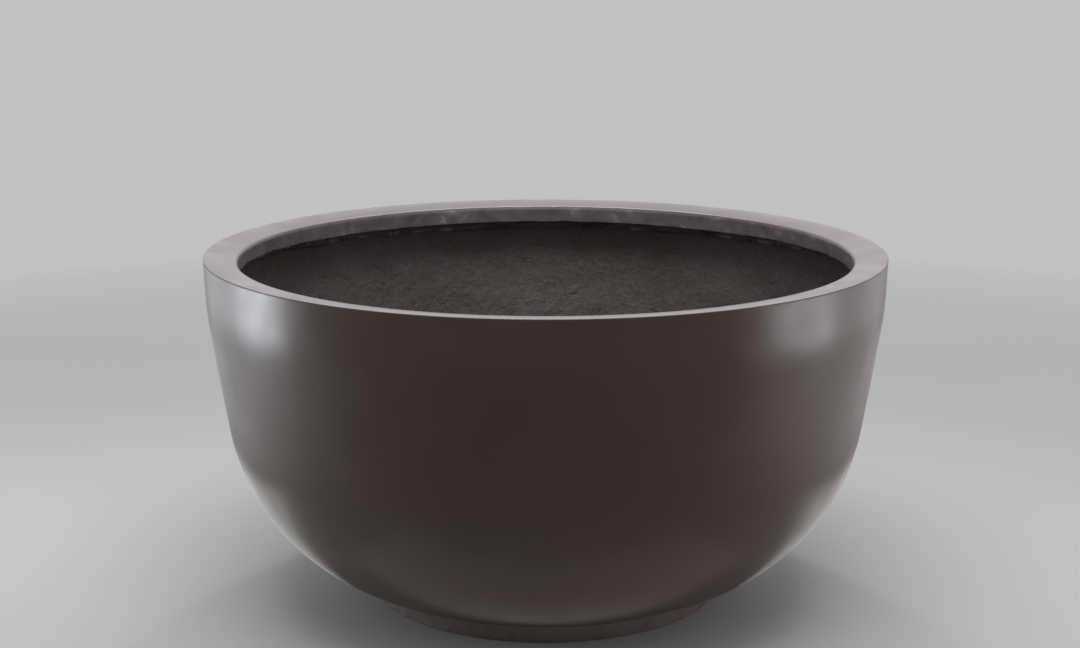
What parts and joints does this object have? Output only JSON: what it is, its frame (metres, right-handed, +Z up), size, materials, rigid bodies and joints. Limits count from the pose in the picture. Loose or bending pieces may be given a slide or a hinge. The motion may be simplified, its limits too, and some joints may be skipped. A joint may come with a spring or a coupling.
{
  "type": "bowl planter",
  "caption": "Wide round floor planter: a glass-fibre bowl with a flat dished rim, a turned-down inner lip, a recessed foot ring and a stoppered floor drain.",
  "frame": {"origin": "centre of the foot ring's underside, where the planter's axis meets the ground", "axes": "+Z up along the bowl's axis of revolution; the bowl is round, so +X and +Y are any two level directions"},
  "size_m": [1.0666, 1.0666, 0.5512],
  "materials": {
    "shell_coat": "satin",
    "wetted_mat": "satin",
    "foot_coat": "satin",
    "plywood": "matte",
    "sleeve_plastic": "satin",
    "stopper_rubber": "matte"
  },
  "bodies": {
    "planter": {"bowl_shell": "shell_coat", "rim_ring": "shell_coat", "rim_bond_strips": "wetted_mat", "foot_ring": "foot_coat", "foot_bond_strips": "wetted_mat", "floor_core": "plywood", "floor_laminate": "wetted_mat", "drain_sleeve": "sleeve_plastic"},
    "stopper": {"drain_stopper": "stopper_rubber"}
  },
  "joints": [
    {"name": "stopper_lift", "type": "slide", "parent": "planter", "child": "stopper", "axis": [0, 0, 1], "range_m": [0, 0.6]}
  ]
}
